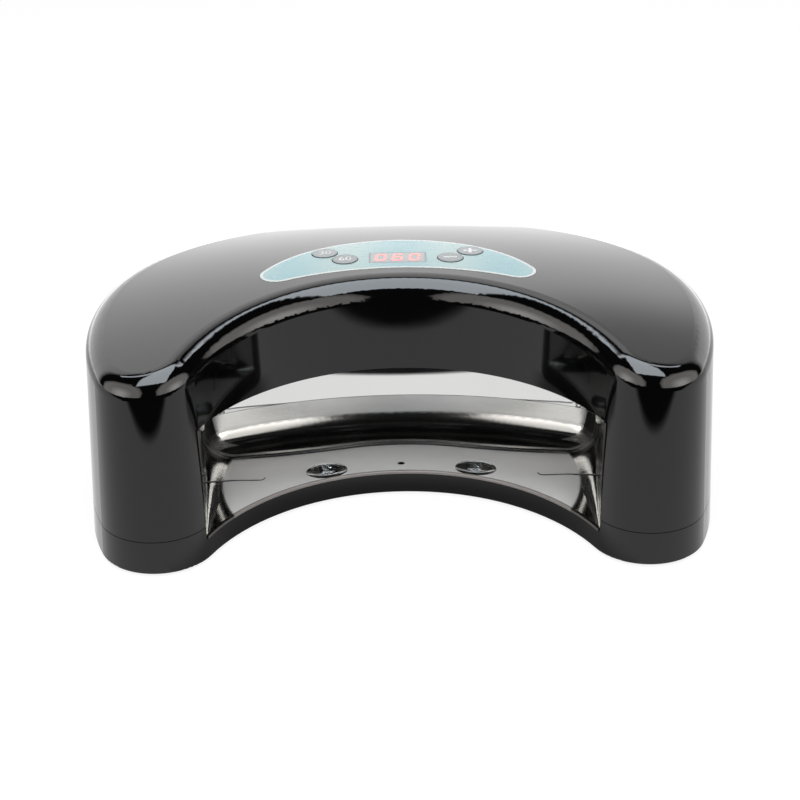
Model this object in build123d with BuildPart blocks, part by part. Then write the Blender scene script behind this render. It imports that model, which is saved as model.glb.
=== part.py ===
from build123d import *
import math
import os

os.makedirs("parts", exist_ok=True)

# All lengths are millimetres. X runs to the right, +Y to the back, Z up.
# The user's hand goes in from the front, which is the -Y side.

# Outline of the body at the floor, made of arcs that run smoothly into each other
mouth_radius = 87.5
pillar_radius = 24.6
pillar_bearing = 64.06
pillar_turn = 21.8
side_radius = 104.0
back_radius = 184.0
draft_angle = 2.1

# Heights of the main lines on the body
foot_proud = 1.0
lip_height = 11.5
seam_height = 15.7
mouth_top = 60.0
dome_peak = 99.1
dome_behind_mouth = 11.3
dome_long_radius = 333.0
dome_cross_radius = 972.0
top_fillet = 9.5

# Plastic walls and the fits between pieces
wall = 2.5
base_floor = 1.5
seam_gap = 0.3
fit_gap = 0.1
loose_gap = 0.3
bottom_edge = 0.8

# Opening between the pillars
mouth_past_bearing = 1.54

# Bright liner inside the opening
liner_wall = 1.2
liner_above_mouth = 4.2
wing_set_out = 0.6
wing_flare = 5.2
wing_fillet_front = 0.8
wing_fillet_rear = 14.0
wing_sections = 5
corner_bite = 0.05
lip_flange_depth = 1.3
lip_flange_width = 1.6
lip_flange_round = 0.5
lip_step = 0.2
curtain_behind_mouth = 35.1
curtain_middle_radius = 100.0
curtain_outer_radius = 140.0
curtain_straight_x = 60.0
bowl_lift = 0.2
bowl_step_out = 1.1
bowl_back_radius = 213.0
bowl_corner = 18.0
bowl_cove = 9.5
bowl_lean = 10.2
bowl_lean_top = 40.0
liner_seam_height = 19.4
rim_bead_heights = (1.5, 0.8)
rim_bead_width = 1.2
liner_seam_gap = 0.2

# Lights set in the floor of the liner
floor_light_x = 32.2
floor_light_from_edge = 10.4
floor_lens_radius = 9.0
floor_lens_sink = 0.2
floor_lens_thick = 1.4
floor_cup_rim = 0.7
floor_cup_depth = 2.2
floor_emitter_size = 4.4
floor_emitter_thick = 0.9
floor_board_thick = 1.2
floor_post_radius = 3.0
sensor_behind_mouth = 9.9
sensor_hole_radius = 1.5
sensor_size = 5.0
sensor_height = 3.4

# Lights in the ceiling of the opening
ceiling_thick = 2.0
ceiling_margin = 7.0
ceiling_front_setback = 5.0
ceiling_screw_inset = 2.3
ceiling_screw_behind_mouth = 12.0
ceiling_rear_screw_turn = 11.5
ceiling_rear_screw_inset = 3.0
light_rows_behind_mouth = (20.5, 43.5)
light_row_steps = (17.0, 14.0)
lights_per_row = 6
lens_radius = 6.9
lens_flange_radius = 8.5
lens_flange_thick = 1.2
lens_drop = 2.4
emitter_radius = 3.0
emitter_thick = 1.6
star_radius = 9.0
star_thick = 1.6
sink_plate = 2.5
sink_fin_to_board = 3.0
sink_fin_thick = 1.6
sink_fin_pitch = 10.0
sink_fin_count = 15

# Control panel on the top
panel_front_radius = 129.6
panel_front_behind_mouth = 17.8
panel_back_radius = 64.7
panel_back_behind_mouth = 53.0
panel_tip_radius = 7.5
panel_thick = 0.8
panel_proud = 0.15
window_width = 24.0
window_depth = 12.0
window_behind_mouth = 29.5
window_thick = 1.6
window_ledge = 1.2
button_radius = 5.4
button_proud = 0.45
button_travel = 0.5
button_ear_reach = 6.5
button_ear_width = 6.0
button_ear_thick = 1.0
button_stem_radius = 2.0
button_stem_length = 0.8
inner_button_x = 22.3
inner_button_behind_mouth = 28.5
outer_button_x = 31.0
outer_button_behind_mouth = 36.9

# Electronics
board_thick = 1.6
control_board_width = 92.0
control_board_depth = 32.0
control_board_behind_mouth = 31.0
board_post_radius = 2.6
board_post_inset = 3.6
switch_size = 6.0
switch_height = 3.5
plunger_radius = 1.7
plunger_height = 1.0
display_width = 22.6
display_depth = 10.4
driver_board_width = 64.0
driver_board_depth = 31.0
driver_board_height = 15.5
driver_board_behind_bowl = 4.0
driver_board_to_wall = 5.0
capacitor_radius = 4.5
capacitor_height = 14.0
capacitor_pitch = 12.0
coil_size = 12.0
coil_height = 9.0
coil_x = 22.0
jack_width = 9.0
jack_length = 12.0
jack_height = 11.0
jack_nose_radius = 3.9
jack_bore_radius = 2.8
jack_bore_depth = 9.5
jack_pin_radius = 1.0
connector_height = 4.0
connector_depth = 5.0
connector_rim = 1.0
ribbon_x = 18.0
ribbon_width = 8.0
ribbon_thick = 1.0
ribbon_bend = 5.0
cable_behind_board_edge = 7.0
wire_radius = 0.6
wire_pitch = 2.4
wire_bend = 5.0
floor_wire_behind_mouth = 9.0
floor_wire_outside = 5.0
floor_wire_corner = (20.0, 37.0)

# Fasteners and feet
screw_radius = 1.45
screw_head_radius = 3.0
screw_head_height = 2.2
screw_length = 26.0
boss_radius = 4.0
rear_boss_x = 44.0
rear_boss_behind_bowl = 20.0
side_boss_outside_pillar = 7.2
side_boss_behind_mouth = 22.0
small_screw_radius = 1.0
small_head_radius = 1.9
small_head_height = 1.3
small_screw_length = 7.0
foot_radius = 6.5
foot_recess = 0.8
front_foot_setback = 12.5
rear_foot_x = 72.0
rear_foot_behind_bowl = 6.0
vent_length = 14.0
vent_width = 2.4
vent_pitch = 6.0
vent_count = 9


# Points of the outline, worked out from the arcs

def polar(centre, radius, degrees):
    turn = math.radians(degrees)
    return (centre[0] + radius * math.cos(turn), centre[1] + radius * math.sin(turn))


def mirrored(point):
    return (-point[0], point[1])


pillar_x = (mouth_radius + pillar_radius) * math.sin(math.radians(pillar_bearing))
pillar_offset = (mouth_radius + pillar_radius) * math.cos(math.radians(pillar_bearing)) - mouth_radius
side_reach = side_radius - pillar_radius
side_x = pillar_x - side_reach * math.cos(math.radians(pillar_turn))
side_offset = pillar_offset + side_reach * math.sin(math.radians(pillar_turn))
back_offset = side_offset - math.sqrt((back_radius - side_radius) ** 2 - side_x ** 2)
front_reach = pillar_offset - pillar_radius
back_reach = back_offset + back_radius

# The apex is the middle of the hollow front edge, and the part's Y zero is half way along its depth
apex = -(front_reach + back_reach) / 2
mouth_centre = (0, apex - mouth_radius)
pillar_centre = (pillar_x, apex + pillar_offset)
side_centre = (side_x, apex + side_offset)
pillar_angle = 90 - pillar_bearing
side_angle = math.degrees(math.atan2(side_offset - back_offset, side_x))
dome_y = apex + dome_behind_mouth
block_top = dome_peak + top_fillet
draft = math.tan(math.radians(draft_angle))


def body_outline(inset):
    front_end = polar(mouth_centre, mouth_radius + inset, pillar_angle)
    pillar_tip = polar(pillar_centre, pillar_radius - inset, -90)
    pillar_end = polar(pillar_centre, pillar_radius - inset, -pillar_turn)
    side_middle = polar(side_centre, side_radius - inset, (side_angle - pillar_turn) / 2)
    side_end = polar(side_centre, side_radius - inset, side_angle)
    with BuildSketch() as outline:
        with BuildLine():
            ThreePointArc(front_end, pillar_tip, pillar_end)
            ThreePointArc(pillar_end, side_middle, side_end)
            mirror(about=Plane.YZ)
            ThreePointArc(front_end, (0, apex + inset), mirrored(front_end))
            ThreePointArc(side_end, (0, apex + back_reach - inset), mirrored(side_end))
        make_face()
    return outline.sketch


def body_block(inset, low, high):
    low_outline = body_outline(inset + low * draft)
    high_outline = body_outline(inset + high * draft)
    with BuildPart() as block:
        with BuildSketch(Plane.XY.offset(low)):
            add(low_outline)
        with BuildSketch(Plane.XY.offset(high)):
            add(high_outline)
        loft(ruled=True)
    return block.part


# The roof is domed both ways: an arc from front to back, swung about an axis far below

def dome_block(drop):
    with BuildPart() as block:
        with BuildSketch(Plane.YZ):
            with Locations((dome_y, dome_peak - dome_long_radius)):
                Circle(dome_long_radius - drop)
            with Locations((dome_y, block_top / 2)):
                Rectangle(4 * side_radius, block_top + 2 * wall, mode=Mode.INTERSECT)
        revolve(axis=Axis((0, 0, dome_peak - dome_cross_radius), (0, 1, 0)))
    return block.part


def dome_height(x, y, drop=0):
    along = math.sqrt((dome_long_radius - drop) ** 2 - (y - dome_y) ** 2) + dome_peak - dome_long_radius
    axis_height = dome_peak - dome_cross_radius
    return math.sqrt((along - axis_height) ** 2 - x ** 2) + axis_height


# A ring sector about the centre of the hollow front

def mouth_sector(inner, outer, half_angle, low, high):
    reach = 4 * outer
    far_right = polar(mouth_centre, reach, 90 - half_angle)
    with BuildPart() as sector:
        with BuildSketch(Plane.XY.offset(low)):
            with Locations(mouth_centre):
                Circle(outer)
                if inner > 0:
                    Circle(inner, mode=Mode.SUBTRACT)
            with BuildLine():
                Polyline(mouth_centre, far_right, mirrored(far_right), close=True)
            make_face(mode=Mode.INTERSECT)
        extrude(amount=high - low)
    return sector.part


# Lines of the liner that the next shapes share

mouth_half_angle = pillar_bearing + mouth_past_bearing
liner_top = mouth_top + liner_above_mouth
floor_edge_height = lip_height - lip_step
wing_spread = math.tan(math.radians(wing_flare))
wing_front_x = mouth_radius * math.sin(math.radians(mouth_half_angle)) + wing_set_out
wing_front_y = mouth_centre[1] + mouth_radius * math.cos(math.radians(mouth_half_angle))
curtain_reach = curtain_middle_radius + curtain_outer_radius
curtain_turn = math.degrees(math.asin(curtain_straight_x / curtain_reach))
rim_side_y = apex + curtain_behind_mouth - curtain_reach * (1 - math.cos(math.radians(curtain_turn)))
rim_side_x = wing_front_x + (rim_side_y - wing_front_y) * wing_spread
space_low = -2 * wing_fillet_rear

# The floor slopes down until its underside is just above the tray, where its corners turn up
base_inside = foot_proud + base_floor
floor_run = math.hypot(rim_side_x - wing_fillet_rear, rim_side_y - mouth_centre[1]) - mouth_radius
slope = (floor_edge_height - base_inside - liner_wall - loose_gap) / floor_run
slope_angle = math.atan(slope)

# The bowl starts just outside the wings, and its back leaves room for the driver board
bowl_floor = base_inside + bowl_lift + liner_wall
bowl_half_width = rim_side_x + bowl_step_out
driver_room = driver_board_behind_bowl + driver_board_depth + driver_board_to_wall
bowl_back = back_reach - wall - driver_room - liner_wall
bowl_spread = math.tan(math.radians(bowl_lean))
bowl_top_back = bowl_back + (bowl_lean_top - liner_seam_height) * bowl_spread


# Everything behind the curtain, the wavy line in plan where the front of the liner meets its bowl

def behind_curtain(setback):
    middle_centre = (0, apex + curtain_behind_mouth - curtain_middle_radius)
    outer_centre = polar(middle_centre, curtain_reach, 90 - curtain_turn)
    middle_radius = curtain_middle_radius + setback
    outer_radius = curtain_outer_radius - setback
    wave_end = polar(middle_centre, middle_radius, 90 - curtain_turn)
    wave_middle = polar(outer_centre, outer_radius, -90 - curtain_turn / 2)
    straight_start = polar(outer_centre, outer_radius, -90)
    straight_end = (side_reach + pillar_x, straight_start[1])
    far_corner = (straight_end[0], apex + back_reach)
    with BuildPart() as region:
        with BuildSketch(Plane.XY.offset(space_low)):
            with BuildLine():
                ThreePointArc(mirrored(wave_end), polar(middle_centre, middle_radius, 90), wave_end)
                ThreePointArc(wave_end, wave_middle, straight_start)
                Polyline(straight_start, straight_end, far_corner, (0, far_corner[1]))
                ThreePointArc(mirrored(wave_end), mirrored(wave_middle), mirrored(straight_start))
                Polyline(
                    mirrored(straight_start), mirrored(straight_end), mirrored(far_corner), (0, far_corner[1])
                )
            make_face()
        extrude(amount=block_top - space_low)
    return region.part


# Room for the hand in front of the curtain: a floor that slopes down to the back, and a wall each side

def wing_x(y):
    return wing_front_x + (y - wing_front_y) * wing_spread


def floor_height(x, y):
    return floor_edge_height - (math.hypot(x, y - mouth_centre[1]) - mouth_radius) * slope


# Solid that rounds off the corner between floor and side wall, with a radius that grows to the back

def corner_round(grow):
    near = wing_front_y - wall
    far = apex + bowl_back
    with BuildPart() as corner:
        for index in range(wing_sections):
            y = near + (far - near) * index / (wing_sections - 1)
            share = (y - wing_front_y) / (rim_side_y - wing_front_y)
            plain_radius = wing_fillet_front + share * (wing_fillet_rear - wing_fillet_front)
            radius = max(plain_radius + grow, fit_gap)
            side = wing_x(y) + grow
            centre_x = side - radius
            sink = grow / math.cos(slope_angle)
            tilt = math.atan(slope * centre_x / math.hypot(centre_x, y - mouth_centre[1]))
            contact_z = floor_height(centre_x - radius * math.sin(tilt), y) - sink
            centre = (centre_x + corner_bite, contact_z + radius * math.cos(tilt) - corner_bite)
            foot = polar(centre, radius, -90 - math.degrees(tilt))
            middle = polar(centre, radius, -45 - math.degrees(tilt) / 2)
            top = (centre[0] + radius, centre[1])
            outside = (side + wall, centre[1])
            low_z = contact_z - wing_fillet_rear
            with BuildSketch(Plane.XZ.offset(-y)):
                with BuildLine():
                    ThreePointArc(foot, middle, top)
                    Polyline(top, outside, (outside[0], low_z), (foot[0], low_z), foot)
                make_face()
        loft()
    return corner.part


def front_space(grow):
    near = wing_front_y - pillar_radius
    far = apex + bowl_back
    near_corner = (wing_x(near) + grow, near)
    far_corner = (wing_x(far) + grow, far)
    sink = grow / math.cos(slope_angle)
    outer = mouth_radius + bowl_half_width
    corner = corner_round(grow)
    with BuildPart() as space:
        with BuildSketch(Plane.XY.offset(space_low)):
            with BuildLine():
                Polyline(near_corner, far_corner, mirrored(far_corner), mirrored(near_corner), close=True)
            make_face()
        extrude(amount=liner_top - space_low)
        with BuildSketch(Plane(origin=(0, mouth_centre[1], 0), x_dir=(1, 0, 0), z_dir=(0, -1, 0))):
            with BuildLine():
                Polyline(
                    (0, space_low - wall),
                    (0, floor_edge_height + mouth_radius * slope - sink),
                    (outer, floor_edge_height - (outer - mouth_radius) * slope - sink),
                    (outer, space_low - wall),
                    close=True,
                )
            make_face()
        revolve(axis=Axis((mouth_centre[0], mouth_centre[1], 0), (0, 0, 1)), mode=Mode.SUBTRACT)
        add(corner, mode=Mode.SUBTRACT)
        add(corner.mirror(Plane.YZ), mode=Mode.SUBTRACT)
    return space.part


# Plan of the room behind the curtain, with rounded back corners

def bowl_outline(grow, near, back):
    reach = bowl_back_radius + grow
    side = bowl_half_width + grow
    bowl_centre_y = apex + back - bowl_back_radius
    corner = (side, bowl_centre_y + math.sqrt(reach ** 2 - side ** 2))
    near_corner = (side, near)
    with BuildSketch() as outline:
        with BuildLine():
            ThreePointArc(corner, (0, apex + back + grow), mirrored(corner))
            Polyline(corner, near_corner, mirrored(near_corner), mirrored(corner))
        make_face()
        back_corners = outline.vertices().group_by(Axis.Y)[-1]
        fillet(back_corners, radius=bowl_corner + grow)
    return outline.sketch


# Room behind the curtain: a bowl with a coved edge, whose back leans away up to a given height

def bowl_space(grow):
    low = bowl_floor - grow
    low_outline = bowl_outline(grow, wing_front_y, bowl_back - (liner_seam_height - low) * bowl_spread)
    high_outline = bowl_outline(grow, wing_front_y, bowl_top_back)
    with BuildPart() as space:
        with BuildSketch(Plane.XY.offset(low)):
            add(low_outline)
        with BuildSketch(Plane.XY.offset(bowl_lean_top)):
            add(high_outline)
        loft(ruled=True)
        with BuildSketch(Plane.XY.offset(bowl_lean_top)):
            add(high_outline)
        extrude(amount=liner_top - bowl_lean_top)
        floor_face = space.faces().sort_by(Axis.Z)[0]
        cove = floor_face.edges().filter_by(lambda edge: edge.center().Y > wing_front_y + 1)
        fillet(cove, radius=bowl_cove + grow)
    return space.part


# The crescent of the control panel, seen from above

def panel_outline(grow):
    with BuildSketch() as outline:
        with Locations((0, apex + panel_back_behind_mouth - panel_back_radius)):
            Circle(panel_back_radius + grow)
        with Locations((0, apex + panel_front_behind_mouth - panel_front_radius)):
            Circle(panel_front_radius - grow, mode=Mode.SUBTRACT)
        fillet(outline.vertices(), radius=panel_tip_radius + grow)
    return outline.sketch


# Heights and places that more than one piece uses

seam_top = seam_height + seam_gap / 2
seam_bottom = seam_height - seam_gap / 2
lip_under = lip_height - lip_flange_depth - fit_gap
plate_start = mouth_radius + lip_flange_width - liner_wall / 2
front_wall_inside = mouth_radius + wall + mouth_top * draft
frame_radius = front_wall_inside + loose_gap
frame_half_angle = mouth_half_angle - loose_gap

screw_places = [
    (side * x, apex + y)
    for side in (-1, 1)
    for x, y in (
        (pillar_x, pillar_offset),
        (pillar_x + side_boss_outside_pillar, side_boss_behind_mouth),
        (rear_boss_x, bowl_back + rear_boss_behind_bowl),
    )
]
foot_places = [
    (side * x, apex + y)
    for side in (-1, 1)
    for x, y in (
        (pillar_x, pillar_offset - front_foot_setback),
        (rear_foot_x, bowl_back + rear_foot_behind_bowl),
    )
]

ceiling_high = liner_top + ceiling_thick
star_low = ceiling_high + lens_flange_thick
sink_low = star_low + star_thick
sink_high = sink_low + sink_plate
ceiling_front_screw = (
    bowl_half_width + ceiling_margin - ceiling_screw_inset,
    apex + ceiling_screw_behind_mouth,
)
ceiling_rear_screw = polar(
    (0, apex + bowl_top_back - bowl_back_radius),
    bowl_back_radius + ceiling_margin - ceiling_rear_screw_inset,
    90 - ceiling_rear_screw_turn,
)
ceiling_screws = [
    place
    for right_place in (ceiling_front_screw, ceiling_rear_screw)
    for place in (mirrored(right_place), right_place)
]
ceiling_lights = [
    polar(mouth_centre, mouth_radius + row, 90 + step * (index - (lights_per_row - 1) / 2))
    for row, step in zip(light_rows_behind_mouth, light_row_steps)
    for index in range(lights_per_row)
]
sink_front_radius = mouth_radius + light_rows_behind_mouth[0] - star_radius

window_y = apex + window_behind_mouth
button_places = {
    "preset_button_rear": (-outer_button_x, apex + outer_button_behind_mouth),
    "preset_button_front": (-inner_button_x, apex + inner_button_behind_mouth),
    "minus_button": (inner_button_x, apex + inner_button_behind_mouth),
    "plus_button": (outer_button_x, apex + outer_button_behind_mouth),
}
ear_tops = {
    name: dome_height(abs(x) + button_ear_reach, y + button_radius, wall) - loose_gap
    for name, (x, y) in button_places.items()
}
stem_low = min(ear_tops.values()) - button_ear_thick - button_stem_length
control_board_top = stem_low - loose_gap - button_travel - plunger_height - switch_height
control_board_low = control_board_top - board_thick
control_middle = apex + control_board_behind_mouth
control_post_x = control_board_width / 2 - board_post_inset
control_post_step = control_board_depth / 2 - board_post_inset
control_posts = [
    (side * control_post_x, control_middle + step * control_post_step)
    for side in (-1, 1)
    for step in (-1, 1)
]

driver_front = apex + bowl_back + liner_wall + driver_board_behind_bowl
driver_middle = driver_front + driver_board_depth / 2
driver_top = driver_board_height + board_thick
driver_post_x = driver_board_width / 2 - board_post_inset
driver_post_step = driver_board_depth / 2 - board_post_inset
driver_posts = [
    (side * driver_post_x, driver_middle + step * driver_post_step)
    for side in (-1, 1)
    for step in (-1, 1)
]
cable_y = driver_front + cable_behind_board_edge
jack_axis = driver_top + jack_height / 2
back_wall_outside = apex + back_reach - jack_axis * draft
jack_back = back_wall_outside - wall - loose_gap


# A plane that lies on the sloping floor of the liner at a given place

def floor_plane(place):
    across = (place[0] - mouth_centre[0], place[1] - mouth_centre[1])
    radius = math.hypot(across[0], across[1])
    normal = (across[0] / radius * slope, across[1] / radius * slope, 1)
    return Plane(origin=(place[0], place[1], floor_height(place[0], place[1])), z_dir=normal)


floor_light_reach = mouth_radius + floor_light_from_edge
floor_light_y = mouth_centre[1] + math.sqrt(floor_light_reach ** 2 - floor_light_x ** 2)
floor_lights = [floor_plane((side * floor_light_x, floor_light_y)) for side in (-1, 1)]
sensor_place = (0, apex + sensor_behind_mouth)
sensor_top = floor_plane(sensor_place).origin.Z - liner_wall - loose_gap - sensor_size * slope
cup_radius = floor_lens_radius - floor_cup_rim / 2
lens_under = floor_lens_sink + floor_lens_thick
cup_under = lens_under + floor_cup_depth
board_under = cup_under + floor_board_thick

outer_dome = dome_block(0)
inner_dome = dome_block(wall)
front_room = front_space(0)
bowl_room = bowl_space(0)
behind_all = behind_curtain(0)


# Black lower tray: floor, low outer wall, and posts for screws, boards and lights

base_block = body_block(0, foot_proud, seam_bottom)
base_hollow = body_block(wall, base_inside, seam_height + wall)
lip_cut = mouth_sector(
    mouth_radius - wall, front_wall_inside, mouth_half_angle, lip_under, seam_height + wall
)
plate_rebate = mouth_sector(
    plate_start - fit_gap,
    front_wall_inside,
    mouth_half_angle,
    floor_edge_height - liner_wall - (front_wall_inside - mouth_radius) * slope - loose_gap,
    seam_height,
)

with BuildPart() as light_pockets:
    for light in floor_lights:
        with BuildSketch(light.offset(wall)):
            Circle(floor_lens_radius + loose_gap)
        extrude(amount=-wall - board_under)

with BuildPart() as light_posts:
    with BuildSketch(Plane.XY.offset(foot_proud)):
        with Locations(*[(light.origin.X, light.origin.Y) for light in floor_lights]):
            Circle(floor_post_radius)
    extrude(amount=lip_height - foot_proud)
    add(light_pockets.part, mode=Mode.SUBTRACT)

with BuildPart() as base_tray:
    add(base_block)
    fillet(base_tray.faces().sort_by(Axis.Z)[0].edges(), radius=bottom_edge)
    add(light_pockets.part, mode=Mode.SUBTRACT)
    add(base_hollow, mode=Mode.SUBTRACT)
    add(lip_cut, mode=Mode.SUBTRACT)
    add(plate_rebate, mode=Mode.SUBTRACT)
    with BuildSketch(Plane.XY.offset(foot_proud)):
        with Locations(*screw_places):
            Circle(boss_radius)
    extrude(amount=seam_bottom - foot_proud)
    with BuildSketch(Plane.XY.offset(foot_proud)):
        with Locations(*driver_posts):
            Circle(board_post_radius)
    extrude(amount=driver_board_height - foot_proud)
    with BuildSketch(Plane.XY.offset(foot_proud)):
        with Locations(sensor_place):
            Circle(sensor_size / 2)
    extrude(amount=sensor_top - sensor_height - foot_proud)
    add(light_posts.part)
    with BuildSketch(Plane.XY.offset(foot_proud)):
        with Locations(*screw_places):
            Circle(screw_head_radius + loose_gap)
    extrude(amount=screw_head_height + loose_gap, mode=Mode.SUBTRACT)
    with BuildSketch(Plane.XY.offset(foot_proud)):
        with Locations(*screw_places):
            Circle(screw_radius + fit_gap)
    extrude(amount=seam_height, mode=Mode.SUBTRACT)
    with BuildSketch(Plane.XY.offset(driver_board_height)):
        with Locations(*driver_posts):
            Circle(small_screw_radius + fit_gap)
    extrude(amount=-small_screw_length, mode=Mode.SUBTRACT)
    with BuildSketch(Plane.XY.offset(foot_proud)):
        with Locations(*foot_places):
            Circle(foot_radius + fit_gap)
    extrude(amount=foot_recess, mode=Mode.SUBTRACT)
    with BuildSketch(Plane.XY.offset(foot_proud)):
        with Locations((0, driver_middle)):
            with GridLocations(vent_pitch, 0, vent_count, 1):
                SlotOverall(vent_length, vent_width, rotation=90)
    extrude(amount=base_floor, mode=Mode.SUBTRACT)


# Glossy black upper shell: roof, outer wall, two pillars and the visor over the opening

housing_block = body_block(0, seam_top, block_top)
hollow_block = body_block(wall, seam_bottom, block_top)
roof_middle = dome_block(wall / 2)
recess_floor = dome_block(panel_thick)
window_floor = dome_block(window_thick)
recess_outline = panel_outline(fit_gap)
opening = mouth_sector(
    mouth_radius - wall, front_wall_inside + wall, mouth_half_angle, seam_bottom, mouth_top
)

with BuildPart() as housing_hollow:
    add(hollow_block)
    add(inner_dome, mode=Mode.INTERSECT)
    fillet(housing_hollow.faces().sort_by(Axis.Z)[-1].edges(), radius=top_fillet - wall)

with BuildPart() as housing_posts:
    with BuildSketch(Plane.XY.offset(seam_top)):
        with Locations(*screw_places):
            Circle(boss_radius)
    extrude(amount=block_top - seam_top)
    with BuildSketch(Plane.XY.offset(ceiling_high)):
        with Locations(*ceiling_screws):
            Circle(board_post_radius)
    extrude(amount=block_top - ceiling_high)
    with BuildSketch(Plane.XY.offset(control_board_top)):
        with Locations(*control_posts):
            Circle(board_post_radius)
    extrude(amount=block_top - control_board_top)
    add(roof_middle, mode=Mode.INTERSECT)
    with BuildSketch(Plane.XY.offset(seam_bottom)):
        with Locations(*screw_places):
            Circle(screw_radius + fit_gap)
    extrude(amount=screw_length, mode=Mode.SUBTRACT)
    with BuildSketch(Plane.XY.offset(ceiling_high)):
        with Locations(*ceiling_screws):
            Circle(small_screw_radius + fit_gap)
    extrude(amount=small_screw_length, mode=Mode.SUBTRACT)
    with BuildSketch(Plane.XY.offset(control_board_top)):
        with Locations(*control_posts):
            Circle(small_screw_radius + fit_gap)
    extrude(amount=small_screw_length - board_thick, mode=Mode.SUBTRACT)

with BuildPart() as panel_recess:
    with BuildSketch(Plane.XY.offset(control_board_top)):
        add(recess_outline)
    extrude(amount=block_top - control_board_top)
    add(recess_floor, mode=Mode.SUBTRACT)

with BuildPart() as window_recess:
    with BuildSketch(Plane.XY.offset(control_board_top)):
        with Locations((0, window_y)):
            Rectangle(window_width + 2 * fit_gap, window_depth + 2 * fit_gap)
    extrude(amount=block_top - control_board_top)
    add(window_floor, mode=Mode.SUBTRACT)

with BuildPart() as upper_housing:
    add(housing_block)
    add(outer_dome, mode=Mode.INTERSECT)
    fillet(upper_housing.faces().sort_by(Axis.Z)[-1].edges(), radius=top_fillet)
    add(housing_hollow.part, mode=Mode.SUBTRACT)
    add(housing_posts.part)
    add(opening, mode=Mode.SUBTRACT)
    add(panel_recess.part, mode=Mode.SUBTRACT)
    add(window_recess.part, mode=Mode.SUBTRACT)
    with BuildSketch(Plane.XY.offset(control_board_top)):
        with Locations((0, window_y)):
            Rectangle(window_width - 2 * window_ledge, window_depth - 2 * window_ledge)
        with Locations(*button_places.values()):
            Circle(button_radius + loose_gap)
    extrude(amount=block_top - control_board_top, mode=Mode.SUBTRACT)
    with BuildSketch(Plane.XZ.offset(-back_wall_outside - wall)):
        with Locations((0, jack_axis)):
            Circle(jack_nose_radius + fit_gap)
    extrude(amount=3 * wall, mode=Mode.SUBTRACT)


# Printed plastic sheet that covers the controls, let into the roof

overlay_outline = panel_outline(0)
overlay_top = dome_block(-panel_proud)

with BuildPart() as control_panel_overlay:
    with BuildSketch(Plane.XY.offset(control_board_top)):
        add(overlay_outline)
        with Locations((0, window_y)):
            Rectangle(window_width + 2 * fit_gap, window_depth + 2 * fit_gap, mode=Mode.SUBTRACT)
        with Locations(*button_places.values()):
            Circle(button_radius + loose_gap, mode=Mode.SUBTRACT)
    extrude(amount=block_top - control_board_top)
    add(overlay_top, mode=Mode.INTERSECT)
    add(recess_floor, mode=Mode.SUBTRACT)

with BuildPart() as display_window:
    with BuildSketch(Plane.XY.offset(control_board_top)):
        with Locations((0, window_y)):
            Rectangle(window_width, window_depth)
    extrude(amount=block_top - control_board_top)
    add(overlay_top, mode=Mode.INTERSECT)
    add(window_floor, mode=Mode.SUBTRACT)


# Four push buttons: a domed cap, an ear each side that holds it under the roof, and a short stem

button_top = dome_block(-button_proud)
buttons = {}
for name, place in button_places.items():
    ear_low = ear_tops[name] - button_ear_thick
    with BuildPart() as button:
        with BuildSketch(Plane.XY.offset(ear_low)):
            with Locations(place):
                Circle(button_radius)
        extrude(amount=block_top - ear_low)
        add(button_top, mode=Mode.INTERSECT)
        with BuildSketch(Plane.XY.offset(ear_low)):
            with Locations(place):
                Rectangle(2 * button_ear_reach, button_ear_width)
        extrude(amount=button_ear_thick)
        with BuildSketch(Plane.XY.offset(stem_low)):
            with Locations(place):
                Circle(button_stem_radius)
        extrude(amount=ear_low - stem_low)
    buttons[name] = button.part


# Control board with its ribbon socket, the switches under the buttons, and the number display

with BuildPart() as control_board:
    with BuildSketch(Plane.XY.offset(control_board_low)):
        with Locations((0, control_middle)):
            Rectangle(control_board_width, control_board_depth)
        with Locations(*control_posts):
            Circle(small_screw_radius + fit_gap, mode=Mode.SUBTRACT)
    extrude(amount=board_thick)
    with BuildSketch(Plane.XY.offset(control_board_top)):
        with Locations((-ribbon_x, control_middle + (control_board_depth - connector_depth) / 2)):
            Rectangle(ribbon_width + 2 * connector_rim, connector_depth)
    extrude(amount=connector_height)

with BuildPart() as button_switches:
    with BuildSketch(Plane.XY.offset(control_board_top)):
        with Locations(*button_places.values()):
            Rectangle(switch_size, switch_size)
    extrude(amount=switch_height)
    with BuildSketch(Plane.XY.offset(control_board_top + switch_height)):
        with Locations(*button_places.values()):
            Circle(plunger_radius)
    extrude(amount=plunger_height)

display_top = dome_height(display_width / 2, window_y + window_depth / 2, wall) - loose_gap
with BuildPart() as display_module:
    with BuildSketch(Plane.XY.offset(control_board_top)):
        with Locations((0, window_y)):
            Rectangle(display_width, display_depth)
    extrude(amount=display_top - control_board_top)


# Bright front liner: sloping floor with a turned lip along the front, and a wing up each side

front_skin = front_space(liner_wall)
behind_rim = behind_curtain(-fit_gap)
inside_frame = mouth_sector(0, frame_radius, frame_half_angle, 0, mouth_top - loose_gap)

with BuildPart() as frame_zone:
    with BuildSketch():
        with Locations(mouth_centre):
            Circle(frame_radius)
    extrude(amount=block_top)
    add(inside_frame, mode=Mode.SUBTRACT)
    with BuildSketch():
        with Locations(mouth_centre):
            Circle(plate_start)
    extrude(amount=block_top)

lip_ring = mouth_sector(
    mouth_radius, mouth_radius + lip_flange_width, frame_half_angle, lip_height - lip_flange_depth, lip_height
)
with BuildPart() as lip_flange:
    add(lip_ring)
    fillet(lip_flange.faces().sort_by(Axis.Z)[-1].edges().filter_by(GeomType.CIRCLE), radius=lip_flange_round)

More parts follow.
